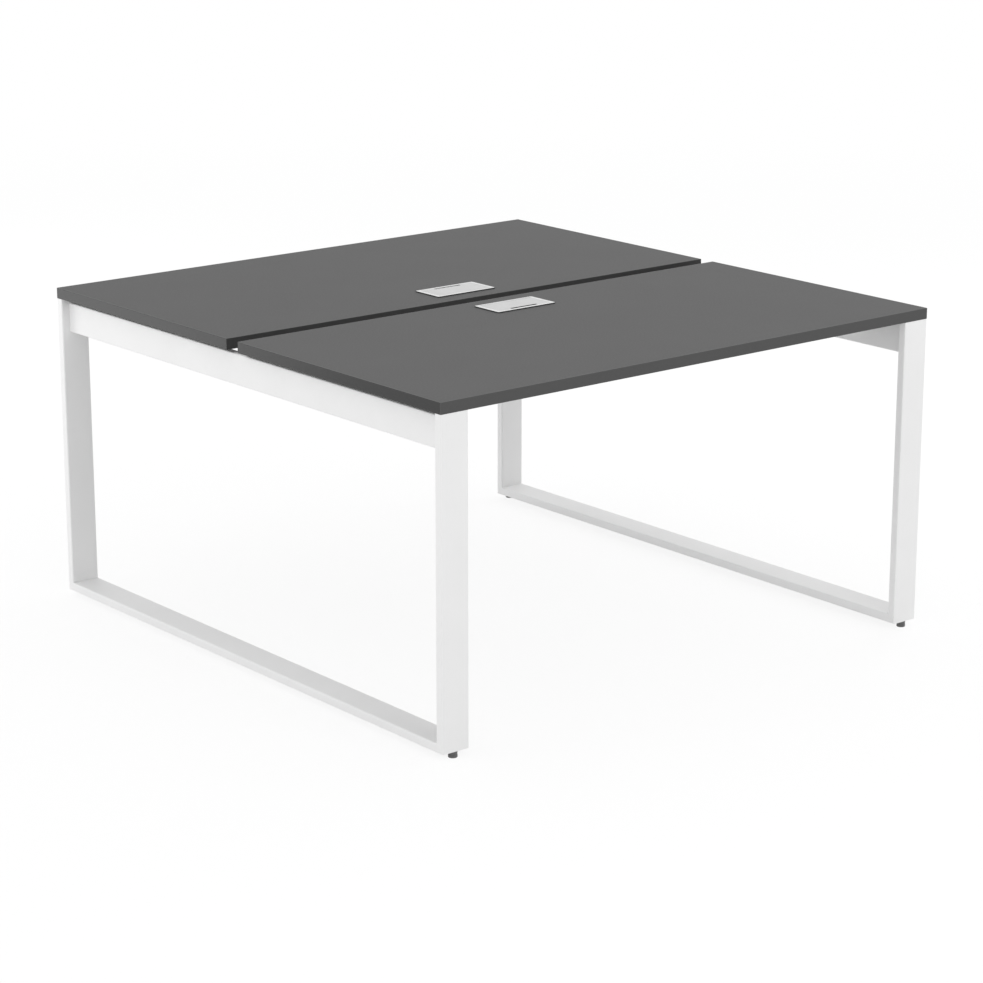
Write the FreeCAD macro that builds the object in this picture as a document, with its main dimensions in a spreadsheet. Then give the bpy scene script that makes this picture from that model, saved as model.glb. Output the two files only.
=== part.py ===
import FreeCAD, Part
import Sketcher
import math
import os
import re

from FreeCAD import Placement, Rotation, Vector

# A two-place bench desk: two worktops with a cable gap between them, on two white tube frames.
# Lengths are in millimetres. X runs along the desk, Y from the front place to the rear one, Z up.
# The origin is on the floor, under the middle of the desk.
# The rear half is the front half turned half a turn about the vertical axis.

SIZES = {
    # Worktops and their edging
    "top_length": "1400",
    "top_depth": "700",
    "top_thickness": "25",
    "top_gap": "40",
    "top_height": "750",
    "edging_thickness": "2",
    "edging_round": "1.2",
    # End frames
    "tube_width": "70",
    "tube_depth": "20",
    "tube_wall": "2",
    "tube_round": "3",
    "tube_inner_round": "1",
    "rail_height": "70",
    "rail_drop": "10",
    "rail_thickness": "20",
    "rail_setback": "20",
    "cap_thickness": "3",
    "cap_clearance": "0.1",
    # Beams under the worktops
    "beam_height": "50",
    "beam_width": "30",
    "beam_edge_distance": "200",
    "plate_thickness": "4",
    "plate_width": "80",
    "plate_height": "50",
    "plate_bolt_spacing": "56",
    "tab_length": "40",
    "tab_width": "25",
    "tab_thickness": "3",
    "tab_pitch": "510",
    # Bolts, nuts and wood screws
    "thread_diameter": "8",
    "thread_clearance": "0.05",
    "hole_clearance": "0.5",
    "bolt_length": "16",
    "bolt_head_width": "13",
    "bolt_head_height": "5.3",
    "bolt_flange_diameter": "17",
    "bolt_flange_thickness": "1.6",
    "nut_width": "13",
    "nut_height": "6.5",
    "screw_diameter": "5",
    "screw_length": "20",
    "screw_tip": "4",
    "screw_head_diameter": "10",
    "screw_head_height": "3",
    # Levelling feet
    "foot_height": "14",
    "foot_diameter": "20",
    "foot_chamfer": "1",
    "foot_floor": "3",
    "swivel_diameter": "12",
    "swivel_height": "3",
    "swivel_clearance": "0.1",
    "stud_length": "36",
    "stud_chamfer": "1",
    # Cable ports
    "port_length": "168",
    "port_depth": "86",
    "port_thickness": "2.7",
    "port_round": "4",
    "port_edge_round": "0.8",
    "port_gap_distance": "45",
    "port_side_rim": "9",
    "port_user_rim": "8",
    "port_gap_rim": "6",
    "opening_round": "1",
    "collar_wall": "2",
    "collar_depth": "22",
    "collar_clearance": "1",
    "lid_thickness": "2",
    "lid_clearance": "0.5",
    "slot_length": "76",
    "slot_width": "8",
    "barrel_diameter": "5",
    "hinge_clearance": "0.8",
    "pin_diameter": "3",
    "pin_seat": "1.6",
    "pin_clearance": "0.05",
    "ledge_length": "12",
    "ledge_width": "6",
    "ledge_height": "5",
    "bumper_diameter": "5",
    "bumper_thickness": "1",
    "rest_clearance": "0.05",
    "port_screw_diameter": "3.5",
    "port_screw_length": "18",
    "port_screw_tip": "3",
    "port_screw_head_diameter": "7",
    "port_screw_head_height": "2.2",
    "port_screw_drop": "12",
    # How far every cutting shape runs past what it cuts
    "overrun": "1",
}

doc = FreeCAD.newDocument("BenchDesk")
sheet = doc.addObject("Spreadsheet::Sheet", "Size")
for row, (alias, text) in enumerate(SIZES.items(), start=1):
    sheet.set(f"A{row}", alias)
    sheet.set(f"B{row}", text)
    sheet.setAlias(f"B{row}", alias)
doc.recompute()

# Places that several pieces share, in the sheet's words
DESK_DEPTH = "(2 * top_depth + top_gap)"
UNDERSIDE = "(top_height - top_thickness)"
POST_X = "(top_length / 2 - tube_width / 2)"
POST_Y = f"({DESK_DEPTH} / 2 - tube_depth / 2)"
POST_LENGTH = f"({UNDERSIDE} - foot_height)"
RAIL_FACE = "(top_length / 2 - rail_setback - rail_thickness)"
THREAD_BORE = "(thread_diameter + 2 * thread_clearance)"
BOLT_HOLE = "(thread_diameter + 2 * hole_clearance)"
BEAM_ROWS = {
    "outer": f"({DESK_DEPTH} / 2 - beam_edge_distance)",
    "inner": "(top_gap / 2 + beam_edge_distance)",
}
TAB_STEPS = (-1, 0, 1)

# Places inside a cable port, measured from the middle of its frame on the worktop's surface
PORT_Y = "(top_gap / 2 + port_gap_distance + port_depth / 2)"
OPENING_LENGTH = "(port_length - 2 * port_side_rim)"
OPENING_USER = "(port_user_rim - port_depth / 2)"
OPENING_GAP = "(port_depth / 2 - port_gap_rim)"
LID_UNDERSIDE = "(port_thickness - lid_thickness)"
HINGE_Y = f"({OPENING_GAP} - hinge_clearance - barrel_diameter / 2)"
HINGE_Z = "(port_thickness - barrel_diameter / 2)"
LID_WIDTH = f"({OPENING_LENGTH} - 2 * lid_clearance)"
LEDGE_TOP = f"({LID_UNDERSIDE} - bumper_thickness - rest_clearance)"
LEDGE_X = f"({OPENING_LENGTH} / 2 - ledge_length / 2)"
LEDGE_Y = f"({OPENING_USER} + ledge_width / 2)"
SCREW_Y = f"(({OPENING_USER} + {OPENING_GAP}) / 2)"

TO_X = Rotation(Vector(0, 1, 0), 90)
TO_MINUS_X = Rotation(Vector(0, 1, 0), -90)
TO_Z = Rotation()
SIDES = {"left": -1, "right": 1}
PLACES = {"front": -1, "rear": 1}
nodes = []


def tied(expression):
    """Point each size named in an expression at its cell in the sheet."""
    return re.sub(r"[a-z_]+", lambda word: f"Size.{word[0]}" if word[0] in SIZES else word[0], expression)


def value(expression):
    """What an expression comes to now."""
    return float(sheet.evalExpression(tied(expression)))


def bind(thing, **expressions):
    """Tie a thing's own properties to the sheet."""
    for name, expression in expressions.items():
        thing.setExpression(name, tied(expression))


def move(thing, x="0", y="0", z="0", turn=None):
    """Tie a thing's place to the sheet, and turn it there."""
    if turn is not None:
        thing.Placement = Placement(Vector(), turn)
    for axis, expression in (("x", x), ("y", y), ("z", z)):
        thing.setExpression(f".Placement.Base.{axis}", tied(expression))
    return thing


def about_z(degrees):
    """A turn about the vertical axis."""
    return Rotation(Vector(0, 0, 1), degrees)


def node(piece):
    """Keep a finished piece, to be written under its label."""
    nodes.append(piece)
    return piece


def block(name, size, low):
    """A box of a size along X, Y and Z, from its lowest corner."""
    box = doc.addObject("Part::Box", name)
    bind(box, Length=size[0], Width=size[1], Height=size[2])
    return move(box, *low)


def rod(name, diameter, length, start, turn=TO_Z):
    """A round bar from a start point."""
    cylinder = doc.addObject("Part::Cylinder", name)
    bind(cylinder, Radius=f"({diameter}) / 2", Height=length)
    return move(cylinder, *start, turn)


def hexagon(name, across_flats, length, start):
    """A six-sided bar along Z from a start point."""
    prism = doc.addObject("Part::Prism", name)
    prism.Polygon = 6
    bind(prism, Circumradius=f"({across_flats}) / sqrt(3)", Height=length)
    return move(prism, *start)


def group(name, pieces):
    """Separate solids that share one name."""
    compound = doc.addObject("Part::Compound", name)
    compound.Links = list(pieces)
    return compound


def fuse(name, *pieces):
    """One solid from several that meet."""
    whole = doc.addObject("Part::MultiFuse", name)
    whole.Shapes = list(pieces)
    return whole


def cut(name, base, *tools):
    """A piece with holes or recesses cut out of it."""
    rest = doc.addObject("Part::Cut", name)
    rest.Base = base
    rest.Tool = tools[0] if len(tools) == 1 else group(f"{name}_cuts", tools)
    return rest


def copy(name, master, x, y, z, turn=TO_Z):
    """The same piece again, at another place."""
    link = doc.addObject("App::Link", name)
    link.LinkedObject = master
    return move(link, x, y, z, turn)


def sketch_on(body, name, role):
    """An empty sketch on one of a body's origin planes."""
    sketch = body.newObject("Sketcher::SketchObject", name)
    plane = next(feature for feature in body.Origin.OriginFeatures if feature.Role == role)
    sketch.AttachmentSupport = (plane, [""])
    sketch.MapMode = "FlatFace"
    return sketch


def dimension(sketch, kind, *targets, size):
    """Add a dimension to a sketch and tie it to the sheet."""
    index = sketch.addConstraint(Sketcher.Constraint(kind, *targets, value(size)))
    sketch.setExpression(f"Constraints[{index}]", tied(size))


def rounded_rectangle(sketch, left, right, bottom, top, radius):
    """Draw a rectangle with round corners between four lines."""
    round_now = value(radius)
    columns = {-1: value(left) + round_now, 1: value(right) - round_now}
    rows = {-1: value(bottom) + round_now, 1: value(top) - round_now}
    arcs = []
    for quarter, (column, level) in enumerate(((1, -1), (1, 1), (-1, 1), (-1, -1))):
        circle = Part.Circle(Vector(columns[column], rows[level], 0), Vector(0, 0, 1), round_now)
        start = (quarter - 1) * math.pi / 2
        arcs.append(sketch.addGeometry(Part.ArcOfCircle(circle, start, start + math.pi / 2)))
    lines = []
    for quarter, arc in enumerate(arcs):
        following = arcs[(quarter + 1) % len(arcs)]
        ends = sketch.Geometry[arc].EndPoint, sketch.Geometry[following].StartPoint
        line = sketch.addGeometry(Part.LineSegment(*ends))
        sketch.addConstraint(Sketcher.Constraint("Tangent", arc, 2, line, 1))
        sketch.addConstraint(Sketcher.Constraint("Tangent", line, 2, following, 1))
        sketch.addConstraint(Sketcher.Constraint("Horizontal" if quarter % 2 else "Vertical", line))
        lines.append(line)
    for arc in arcs[1:]:
        sketch.addConstraint(Sketcher.Constraint("Equal", arcs[0], arc))
    dimension(sketch, "Radius", arcs[0], size=radius)
    dimension(sketch, "DistanceX", -1, 1, lines[0], 1, size=right)
    dimension(sketch, "DistanceX", -1, 1, lines[2], 1, size=left)
    dimension(sketch, "DistanceY", -1, 1, lines[1], 1, size=top)
    dimension(sketch, "DistanceY", -1, 1, lines[3], 1, size=bottom)


def outline(sketch, points):
    """Draw a closed outline of straight lines through points."""
    places = [Vector(value(x), value(y), 0) for x, y in points]
    lines = []
    for start, end in zip(places, places[1:] + places[:1]):
        lines.append(sketch.addGeometry(Part.LineSegment(start, end)))
    for line, following in zip(lines, lines[1:] + lines[:1]):
        sketch.addConstraint(Sketcher.Constraint("Coincident", line, 2, following, 1))
    for line, (x, y) in zip(lines, points):
        dimension(sketch, "DistanceX", -1, 1, line, 1, size=x)
        dimension(sketch, "DistanceY", -1, 1, line, 1, size=y)


def pad(body, sketch, length, side="Symmetric", reverse=False):
    """Raise a sketch into a solid."""
    feature = body.newObject("PartDesign::Pad", f"{sketch.Name}_pad")
    feature.Profile = sketch
    feature.SideType = side
    feature.Reversed = reverse
    bind(feature, Length=length)
    return feature


def pocket_through(body, sketch):
    """Cut a sketch through the whole solid, both ways."""
    feature = body.newObject("PartDesign::Pocket", f"{sketch.Name}_pocket")
    feature.Profile = sketch
    feature.SideType = "Symmetric"
    feature.Type = "ThroughAll"
    return feature


def round_edges(body, feature, names, radius):
    """Round edges of a body's last feature."""
    fillet = body.newObject("PartDesign::Fillet", f"{feature.Name}_round")
    fillet.Base = (feature, names)
    bind(fillet, Radius=radius)
    return fillet


def rounded_bar(name, role, width, height, radius, length):
    """A straight bar with round long edges, centred on its body's origin."""
    body = doc.addObject("PartDesign::Body", name)
    section = sketch_on(body, f"{name}_section", role)
    half_width = f"({width}) / 2"
    half_height = f"({height}) / 2"
    rounded_rectangle(section, f"-{half_width}", half_width, f"-{half_height}", half_height, radius)
    pad(body, section, length)
    return body, section


def tube(name, role, width, height, length):
    """A straight steel tube with round long edges, centred on its body's origin."""
    body, section = rounded_bar(name, role, width, height, "tube_round", length)
    half_bore = f"(({width}) / 2 - tube_wall)"
    half_rise = f"(({height}) / 2 - tube_wall)"
    rounded_rectangle(section, f"-{half_bore}", half_bore, f"-{half_rise}", half_rise, "tube_inner_round")
    return body


def lathe(name, points):
    """A round piece turned from half its profile, as radius and height."""
    body = doc.addObject("PartDesign::Body", name)
    profile = sketch_on(body, f"{name}_profile", "XZ_Plane")
    outline(profile, points)
    turned = body.newObject("PartDesign::Revolution", f"{name}_turned")
    turned.Profile = profile
    turned.ReferenceAxis = (profile, ["V_Axis"])
    return body


def edging_strip(name, length, round_ends):
    """An edging strip along X, with its outer face on the XZ plane and its body behind it."""
    body = doc.addObject("PartDesign::Body", name)
    section = sketch_on(body, f"{name}_section", "YZ_Plane")
    low = "-top_thickness / 2"
    high = "top_thickness / 2"
    outline(section, (("0", low), ("edging_thickness", low), ("edging_thickness", high), ("0", high)))
    strip = pad(body, section, length)
    doc.recompute()
    back = value("edging_thickness")
    chosen = []
    for number, edge in enumerate(strip.Shape.Edges, start=1):
        middle = edge.CenterOfMass
        along = edge.BoundBox.XLength > back
        on_end = abs(middle.x) > value(length) / 2 - back
        if middle.y < back / 2 and along or round_ends and on_end and middle.y < back * 3 / 4:
            chosen.append(f"Edge{number}")
    round_edges(body, strip, chosen, "edging_round")
    return body


def worktop(place):
    """A laminated board, cut out for its cable port and drilled for its screws, with its edging."""
    turn = 0 if place == "front" else 180
    sign = PLACES[place]
    name = f"{place}_desktop"
    board_size = ("top_length - 2 * edging_thickness", "top_depth - 2 * edging_thickness", "top_thickness")
    board_low = ("edging_thickness - top_length / 2", f"edging_thickness - {DESK_DEPTH} / 2", UNDERSIDE)
    board = block(f"{name}_board", board_size, board_low)
    throat_length = f"({OPENING_LENGTH} + 2 * (collar_wall + collar_clearance))"
    throat_user = f"({OPENING_USER} - collar_wall - collar_clearance)"
    throat_gap = f"({OPENING_GAP} + collar_wall + collar_clearance)"
    throat = block(
        f"{name}_throat",
        (throat_length, f"{throat_gap} - {throat_user}", "top_thickness + 2 * overrun"),
        (f"-{throat_length} / 2", f"{throat_user} - {PORT_Y}", f"{UNDERSIDE} - overrun"),
    )
    reach = f"({OPENING_LENGTH} / 2 + port_screw_length + overrun)"
    side_pilot = rod(
        f"{name}_side_pilot",
        "port_screw_diameter + 2 * thread_clearance",
        f"2 * {reach}",
        (f"-{reach}", f"{SCREW_Y} - {PORT_Y}", "top_height - port_screw_drop"),
        TO_X,
    )
    port_cut = fuse(f"{name}_port_cut", throat, side_pilot)
    pilots = []
    for row, beam_y in BEAM_ROWS.items():
        for step in TAB_STEPS:
            start = (f"{step} * tab_pitch", tab_screw_y(beam_y), f"{UNDERSIDE} - overrun")
            depth = "screw_length - tab_thickness + 2 * overrun"
            width = "screw_diameter + 2 * thread_clearance"
            pilots.append(rod(f"{name}_{row}_pilot_{step + 2}", width, depth, start))
    top = cut(name, board, port_cut, *pilots)
    top.Placement = Placement(Vector(), about_z(turn))
    node(top)

    level = "top_height - top_thickness / 2"
    middle = f"{sign} * (top_gap + top_depth) / 2"
    short = "top_depth - 2 * edging_thickness"
    for edge, way in (("user", 1), ("gap", -1)):
        strip = node(edging_strip(f"{name}_{edge}_edging", "top_length", True))
        edge_y = f"{sign} * ({DESK_DEPTH} / 2)" if edge == "user" else f"{sign} * top_gap / 2"
        move(strip, "0", edge_y, level, about_z(turn if way > 0 else turn + 180))
    for side, way in SIDES.items():
        strip = node(edging_strip(f"{name}_{side}_edging", short, False))
        move(strip, f"{way} * top_length / 2", middle, level, about_z(90 * way))


def tab_screw_y(beam_y):
    """Where the screws of a front beam's tabs stand."""
    return f"-({beam_y} + beam_width / 2 + tab_width / 2)"


def end_frame(side):
    """A rectangular end frame of flat tube: mitred posts and floor rail, and a top rail on edge."""
    way = SIDES[side]
    corner = "(tube_depth / 2 + overrun)"
    for place, sign in PLACES.items():
        name = f"{side}_{place}_post"
        post = node(tube(name, "XY_Plane", "tube_width", "tube_depth", POST_LENGTH))
        mitre = sketch_on(post, f"{name}_mitre", "YZ_Plane")
        foot = f"(-{POST_LENGTH} / 2 - overrun)"
        rise = f"(tube_depth + overrun - {POST_LENGTH} / 2)"
        outline(mitre, ((f"-{corner}", foot), (corner, foot), (corner, rise)))
        pocket_through(post, mitre)
        middle_z = f"foot_height + {POST_LENGTH} / 2"
        move(post, f"{way} * {POST_X}", f"{sign} * {POST_Y}", middle_z, about_z(0 if sign < 0 else 180))

    name = f"{side}_floor_rail"
    bar = tube(f"{name}_tube", "XZ_Plane", "tube_width", "tube_depth", DESK_DEPTH)
    mitres = sketch_on(bar, f"{name}_mitres", "YZ_Plane")
    for sign in PLACES.values():
        tip = f"{sign} * ({DESK_DEPTH} / 2 + overrun)"
        inner = f"{sign} * ({DESK_DEPTH} / 2 - tube_depth - overrun)"
        outline(mitres, ((tip, f"-{corner}"), (tip, corner), (inner, corner)))
    pocket_through(bar, mitres)
    move(bar, f"{way} * {POST_X}", "0", "foot_height + tube_depth / 2")
    holes = []
    for place, sign in PLACES.items():
        start = (f"{way} * {POST_X}", f"{sign} * {POST_Y}", "foot_height - overrun")
        holes.append(rod(f"{name}_{place}_hole", BOLT_HOLE, "tube_wall + 2 * overrun", start))
    node(cut(name, bar, *holes))

    name = f"{side}_top_rail"
    bar = tube(f"{name}_tube", "XZ_Plane", "rail_thickness", "rail_height", f"{DESK_DEPTH} - 2 * tube_depth")
    move(bar, f"{way} * ({RAIL_FACE} + rail_thickness / 2)", "0", f"{UNDERSIDE} - rail_drop - rail_height / 2")
    holes = []
    for number, (bolt_y, bolt_z) in enumerate(bolt_places(), start=1):
        start = (f"{way} * ({RAIL_FACE} - overrun)", bolt_y, bolt_z)
        turn = TO_X if way > 0 else TO_MINUS_X
        holes.append(rod(f"{name}_hole_{number}", BOLT_HOLE, "tube_wall + 2 * overrun", start, turn))
    node(cut(name, bar, *holes))


def bolt_places():
    """Y and Z of the bolts that hold the beams to one top rail."""
    bolt_z = f"{UNDERSIDE} - plate_height / 2"
    places = []
    for sign in PLACES.values():
        for beam_y in BEAM_ROWS.values():
            for step in SIDES.values():
                places.append((f"{sign} * {beam_y} + {step} * plate_bolt_spacing / 2", bolt_z))
    return places


def beam(place, row):
    """A steel beam between the two top rails, with its end plates."""
    name = f"{place}_{row}_beam"
    beam_y = f"{PLACES[place]} * {BEAM_ROWS[row]}"
    length = f"2 * ({RAIL_FACE} - plate_thickness)"
    bar = node(tube(name, "YZ_Plane", "beam_width", "beam_height", length))
    move(bar, "0", beam_y, f"{UNDERSIDE} - beam_height / 2")
    for side, way in SIDES.items():
        plate_name = f"{name}_{side}_plate"
        plate_size = ("plate_thickness", "plate_width", "plate_height")
        flat = block(f"{plate_name}_flat", plate_size, ("-plate_thickness", "-plate_width / 2", "-plate_height"))
        holes = []
        for step in SIDES.values():
            start = ("-plate_thickness - overrun", f"{step} * plate_bolt_spacing / 2", "-plate_height / 2")
            depth = "plate_thickness + 2 * overrun"
            holes.append(rod(f"{plate_name}_hole_{step + 2}", BOLT_HOLE, depth, start, TO_X))
        plate = node(cut(plate_name, flat, *holes))
        move(plate, f"{way} * {RAIL_FACE}", beam_y, UNDERSIDE, about_z(0 if way > 0 else 180))


def wood_screw(name, diameter, length, tip, head_diameter, head_height):
    """A round-headed wood screw along Z, with its head's seat at zero height."""
    radius = f"({diameter}) / 2"
    head = f"({head_diameter}) / 2"
    crown = f"(({head} + {radius}) / 2)"
    points = (
        ("0", f"-{head_height}"),
        (crown, f"-{head_height}"),
        (head, f"-{head_height} / 2"),
        (head, "0"),
        (radius, "0"),
        (radius, f"{length} - {tip}"),
        ("0", length),
    )
    return lathe(name, points)


def fixings():
    """The groups of bolts, nuts, tabs and screws that hold the desk together, and the post caps."""
    nut_body = hexagon("nut_body", "nut_width", "nut_height", ("0", "0", "0"))
    bore = rod("nut_bore", THREAD_BORE, "nut_height + 2 * overrun", ("0", "0", "-overrun"))
    nut = cut("nut", nut_body, bore)
    neck = "(bolt_flange_thickness + bolt_head_height)"
    bolt = fuse(
        "bolt",
        hexagon("bolt_head", "bolt_head_width", "bolt_head_height", ("0", "0", f"-{neck}")),
        rod("bolt_flange", "bolt_flange_diameter", "bolt_flange_thickness", ("0", "0", "-bolt_flange_thickness")),
        rod("bolt_shank", "thread_diameter", "bolt_length", ("0", "0", "0")),
    )
    bolts = []
    nuts = []
    for side, way in SIDES.items():
        outward = TO_X if way > 0 else TO_MINUS_X
        for number, (bolt_y, bolt_z) in enumerate(bolt_places(), start=1):
            seat = f"{way} * ({RAIL_FACE} - plate_thickness)"
            bolts.append(copy(f"{side}_bolt_{number}", bolt, seat, bolt_y, bolt_z, outward))
            seat = f"{way} * ({RAIL_FACE} + tube_wall)"
            nuts.append(copy(f"{side}_nut_{number}", nut, seat, bolt_y, bolt_z, outward))
    node(group("beam_bolts", bolts))
    node(group("beam_nuts", nuts))

    tab_flat = block("tab_flat", ("tab_length", "tab_width", "tab_thickness"),
                     ("-tab_length / 2", "-tab_width", "-tab_thickness"))
    tab_hole = rod("tab_hole", "screw_diameter + 2 * hole_clearance", "tab_thickness + 2 * overrun",
                   ("0", "-tab_width / 2", "-tab_thickness - overrun"))
    tab = cut("tab", tab_flat, tab_hole)
    screw = wood_screw("desktop_screw", "screw_diameter", "screw_length", "screw_tip",
                       "screw_head_diameter", "screw_head_height")
    tabs = []
    screws = []
    for place, sign in PLACES.items():
        turn = about_z(0 if sign < 0 else 180)
        for row, beam_y in BEAM_ROWS.items():
            for step in TAB_STEPS:
                key = f"{place}_{row}_{step + 2}"
                x = f"{step} * tab_pitch"
                tabs.append(copy(f"tab_{key}", tab, x, f"{sign} * ({beam_y} + beam_width / 2)", UNDERSIDE, turn))
                screw_z = f"{UNDERSIDE} - tab_thickness"
                screw_y = f"{-sign} * {tab_screw_y(beam_y)}"
                screws.append(copy(f"screw_{key}", screw, x, screw_y, screw_z))
    node(group("desktop_tabs", tabs))
    node(group("desktop_screws", screws))

    loss = "2 * (tube_wall + cap_clearance)"
    cap, _ = rounded_bar("cap", "XY_Plane", f"tube_width - {loss}", f"tube_depth - {loss}",
                         "tube_inner_round", "cap_thickness")
    caps = []
    foot_nuts = []
    for side, way in SIDES.items():
        for place, sign in PLACES.items():
            x = f"{way} * {POST_X}"
            y = f"{sign} * {POST_Y}"
            caps.append(copy(f"{side}_{place}_cap", cap, x, y, f"{UNDERSIDE} - cap_thickness / 2"))
            foot_nuts.append(copy(f"{side}_{place}_foot_nut", nut, x, y, "foot_height + tube_wall"))
    node(group("post_caps", caps))
    node(group("foot_nuts", foot_nuts))


def levelling_foot(place, side):
    """A plastic pad that turns on the flanged end of a threaded stud."""
    corner = (f"{SIDES[side]} * {POST_X}", f"{PLACES[place]} * {POST_Y}", "0")
    rim = "foot_diameter / 2"
    bore = f"{THREAD_BORE} / 2"
    pocket = "(swivel_diameter / 2 + swivel_clearance)"
    ceiling = "(foot_floor + swivel_height + 2 * swivel_clearance)"
    shell = (
        ("0", "0"),
        (f"{rim} - foot_chamfer", "0"),
        (rim, "foot_chamfer"),
        (rim, "foot_height"),
        (bore, "foot_height"),
        (bore, ceiling),
        (pocket, ceiling),
        (pocket, "foot_floor"),
        ("0", "foot_floor"),
    )
    move(node(lathe(f"{place}_{side}_foot_pad", shell)), *corner)
    base = "(foot_floor + swivel_clearance)"
    shank = "thread_diameter / 2"
    end = "(foot_height + stud_length)"
    spindle = (
        ("0", base),
        ("swivel_diameter / 2", base),
        ("swivel_diameter / 2", f"{base} + swivel_height"),
        (shank, f"{base} + swivel_height"),
        (shank, f"{end} - stud_chamfer"),
        (f"{shank} - stud_chamfer", end),
        ("0", end),
    )
    move(node(lathe(f"{place}_{side}_foot_stud", spindle)), *corner)


def port_frame(name):
    """A flat rim on the worktop with a collar through it, two ledges and its pin and screw holes."""
    body = doc.addObject("PartDesign::Body", f"{name}_casting")
    rim = sketch_on(body, f"{name}_rim", "XY_Plane")
    rounded_rectangle(rim, "-port_length / 2", "port_length / 2", "-port_depth / 2", "port_depth / 2", "port_round")
    plate = pad(body, rim, "port_thickness", "One side")
    doc.recompute()
    faces = list(plate.Shape.Faces)
    top_face = max(range(len(faces)), key=lambda index: faces[index].CenterOfMass.z)
    round_edges(body, plate, [f"Face{top_face + 1}"], "port_edge_round")
    half_outer = f"({OPENING_LENGTH} / 2 + collar_wall)"
    collar = sketch_on(body, f"{name}_collar", "XY_Plane")
    rounded_rectangle(collar, f"-{half_outer}", half_outer, f"{OPENING_USER} - collar_wall",
                      f"{OPENING_GAP} + collar_wall", "opening_round + collar_wall")
    pad(body, collar, "collar_depth", "One side", reverse=True)
    opening = sketch_on(body, f"{name}_opening", "XY_Plane")
    half_inner = f"{OPENING_LENGTH} / 2"
    rounded_rectangle(opening, f"-{half_inner}", half_inner, OPENING_USER, OPENING_GAP, "opening_round")
    pocket_through(body, opening)

    ledges = []
    for side, way in SIDES.items():
        length = "(ledge_length + collar_wall / 2)"
        low_x = f"{half_inner} - ledge_length" if way > 0 else f"-{half_inner} - collar_wall / 2"
        low = (low_x, f"{OPENING_USER} - collar_wall / 2", f"{LEDGE_TOP} - ledge_height")
        ledges.append(block(f"{name}_{side}_ledge", (length, "ledge_width + collar_wall / 2", "ledge_height"), low))
    solid = fuse(f"{name}_solid", body, *ledges)
    pin_reach = f"({half_inner} + pin_seat + pin_clearance)"
    pin_hole = rod(f"{name}_pin_hole", "pin_diameter + 2 * pin_clearance", f"2 * {pin_reach}",
                   (f"-{pin_reach}", HINGE_Y, HINGE_Z), TO_X)
    screw_reach = f"({half_outer} + overrun)"
    screw_hole = rod(f"{name}_screw_hole", "port_screw_diameter + 2 * thread_clearance", f"2 * {screw_reach}",
                     (f"-{screw_reach}", SCREW_Y, "-port_screw_drop"), TO_X)
    return cut(name, solid, pin_hole, screw_hole)


def port_lid(name):
    """A flat lid with a hinge barrel on the gap side and a cable notch in its free edge."""
    free_edge = f"({OPENING_USER} + lid_clearance)"
    left = f"-{LID_WIDTH} / 2"
    plate = block(f"{name}_plate", (LID_WIDTH, f"{HINGE_Y} - {free_edge}", "lid_thickness"),
                  (left, free_edge, LID_UNDERSIDE))
    barrel = rod(f"{name}_barrel", "barrel_diameter", LID_WIDTH, (left, HINGE_Y, HINGE_Z), TO_X)
    leaf = fuse(f"{name}_leaf", plate, barrel)
    notch = block(f"{name}_notch", ("slot_length", "slot_width + overrun", "lid_thickness + 2 * overrun"),
                  ("-slot_length / 2", f"{OPENING_USER} - overrun", f"{LID_UNDERSIDE} - overrun"))
    bore = rod(f"{name}_bore", "pin_diameter + 2 * pin_clearance", f"{LID_WIDTH} + 2 * overrun",
               (f"{left} - overrun", HINGE_Y, HINGE_Z), TO_X)
    return cut(name, leaf, notch, bore)


def cable_port(place):
    """A cable port: frame, lid, hinge pin, bumpers under the lid, and screws into the worktop."""
    sign = PLACES[place]
    name = f"{place}_port"
    pin_reach = f"({OPENING_LENGTH} / 2 + pin_seat)"
    pin_start = (f"-{pin_reach}", HINGE_Y, HINGE_Z)
    pin = rod(f"{name}_pin_bar", "pin_diameter", f"2 * {pin_reach}", pin_start, TO_X)
    bumpers = []
    screws = []
    for side, way in SIDES.items():
        start = (f"{way} * {LEDGE_X}", LEDGE_Y, f"{LID_UNDERSIDE} - bumper_thickness")
        bumpers.append(rod(f"{name}_{side}_bumper", "bumper_diameter", "bumper_thickness", start))
        screw = wood_screw(f"{name}_{side}_screw", "port_screw_diameter", "port_screw_length", "port_screw_tip",
                           "port_screw_head_diameter", "port_screw_head_height")
        outward = TO_X if way > 0 else TO_MINUS_X
        screws.append(move(screw, f"{way} * {OPENING_LENGTH} / 2", SCREW_Y, "-port_screw_drop", outward))
    pieces = (
        port_frame(f"{name}_frame"),
        port_lid(f"{name}_lid"),
        group(f"{name}_hinge_pin", [pin]),
        group(f"{name}_lid_bumpers", bumpers),
        group(f"{name}_screws", screws),
    )
    for piece in pieces:
        move(node(piece), "0", f"{sign} * {PORT_Y}", "top_height", about_z(0 if sign < 0 else 180))


def check_all():
    """Stop if any object failed or any piece has no sound shape."""
    for thing in doc.Objects:
        if {"Invalid", "Error"} & set(thing.State):
            raise RuntimeError(f"{thing.Label} failed: {thing.State}")
    for piece in nodes:
        if piece.Shape.isNull() or not piece.Shape.isValid() or not piece.Shape.Solids:
            raise RuntimeError(f"{piece.Label} has no sound solid")


def write_all():
    """Write every piece to a file of its own name."""
    os.makedirs("parts", exist_ok=True)
    for piece in nodes:
        piece.Shape.exportStep(f"parts/{piece.Label}.step")


for side in SIDES:
    end_frame(side)
for place in PLACES:
    worktop(place)
    for row in BEAM_ROWS:
        beam(place, row)
    cable_port(place)
    for side in SIDES:
        levelling_foot(place, side)
fixings()
doc.recompute()
check_all()
write_all()
print(f"{len(nodes)} pieces written")
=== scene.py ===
import math

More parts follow.
